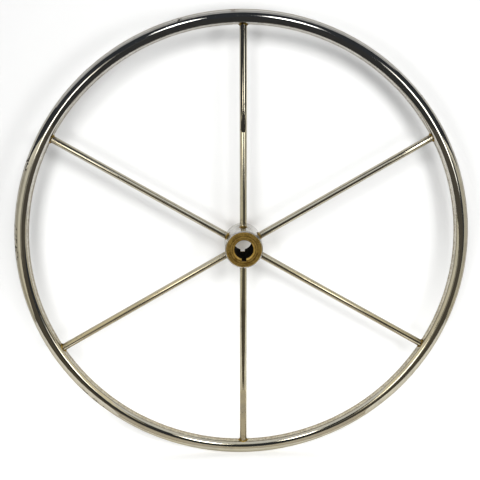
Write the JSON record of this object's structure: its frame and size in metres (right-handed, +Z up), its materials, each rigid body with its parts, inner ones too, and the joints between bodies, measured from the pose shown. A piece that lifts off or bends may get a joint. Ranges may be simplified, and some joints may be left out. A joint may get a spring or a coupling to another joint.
{
  "type": "ship steering wheel",
  "caption": "Boat steering wheel with a round tube rim, straight radial rod spokes and a short turned hub with a keyed through bore.",
  "frame": {"origin": "the wheel's centre: on the hub bore's axis, halfway along the hub, in the plane of the spokes and the rim", "axes": "+Y along the bore, away from the driver and the way the shaft leaves; +Z up along the top spoke; +X to the driver's right. The driver stands on the -Y side, and the keyway points along -Z."},
  "size_m": [0.619, 0.0572, 0.619],
  "materials": {
    "plating": "bright nickel plate over brass, aged, with warm tints and fine pits",
    "hub": "turned brass, bare and dull on its end faces and in the bore, cloudy plate on the barrel",
    "braze": "brazing filler, golden brown, tarnished",
    "bare_brass": "bare brass, not seen"
  },
  "bodies": {
    "root": {"rim_tube": "plating", "rim_seam_braze": "braze", "rim_seam_sleeve": "bare_brass", "hub": "hub", "spoke_top": "plating", "spoke_upper_right": "plating", "spoke_lower_right": "plating", "spoke_bottom": "plating", "spoke_lower_left": "plating", "spoke_upper_left": "plating", "rim_fillet_top": "braze", "rim_fillet_upper_right": "braze", "rim_fillet_lower_right": "braze", "rim_fillet_bottom": "braze", "rim_fillet_lower_left": "braze", "rim_fillet_upper_left": "braze", "hub_fillet_top": "braze", "hub_fillet_upper_right": "braze", "hub_fillet_lower_right": "braze", "hub_fillet_bottom": "braze", "hub_fillet_lower_left": "braze", "hub_fillet_upper_left": "braze"}
  },
  "joints": []
}
